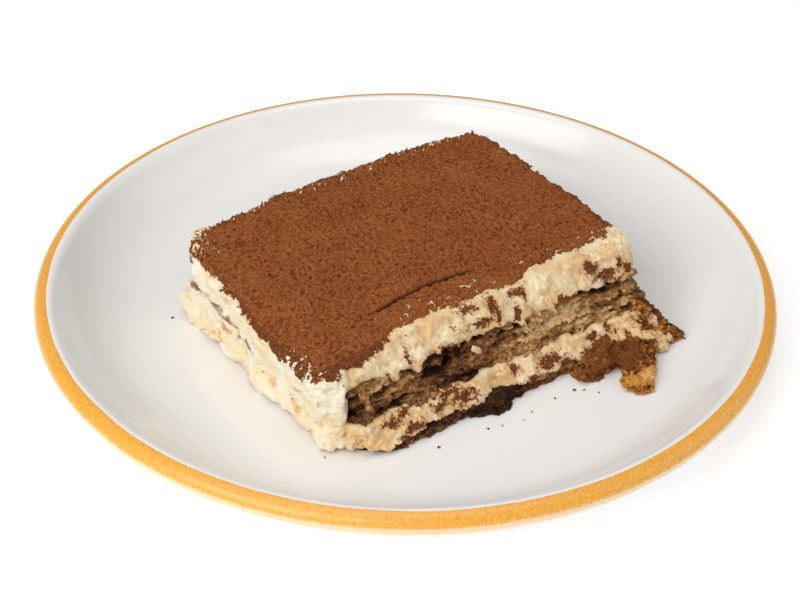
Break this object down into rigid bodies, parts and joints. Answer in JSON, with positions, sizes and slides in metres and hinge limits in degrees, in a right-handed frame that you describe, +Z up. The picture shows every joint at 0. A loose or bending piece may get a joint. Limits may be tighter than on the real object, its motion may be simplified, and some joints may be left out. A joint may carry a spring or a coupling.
{
  "type": "tiramisu portion on a plate",
  "caption": "Rectangular portion of layered tiramisu with a cocoa top, cut faces showing soaked biscuit and mascarpone cream, on a round coupe plate with a gold rim band.",
  "frame": {"origin": "centre of the plate's foot ring, on the surface that the plate stands on", "axes": "+Z up; +X along the long side of the portion; the long cut face with the visible layers looks to -Y"},
  "size_m": [0.24, 0.24, 0.0394],
  "materials": {
    "plate_glaze": "glossy white glaze with a satin gold-yellow rim band",
    "mascarpone_cream": "soft ivory whipped cream, moist satin",
    "soaked_biscuit": "coffee-soaked porous sponge, dark grey-brown, moist",
    "dry_biscuit": "golden-brown biscuit crust, rough and crumbly",
    "cocoa_powder": "dry cocoa powder, matt and granular"
  },
  "bodies": {
    "root": {"plate": "plate_glaze", "biscuit_base": "soaked_biscuit", "cream_lower": "mascarpone_cream", "biscuit_upper": "soaked_biscuit", "cream_top": "mascarpone_cream", "cocoa_layer": "cocoa_powder", "cream_coat": "mascarpone_cream", "biscuit_end": "dry_biscuit", "biscuit_heel": "dry_biscuit"}
  },
  "joints": []
}
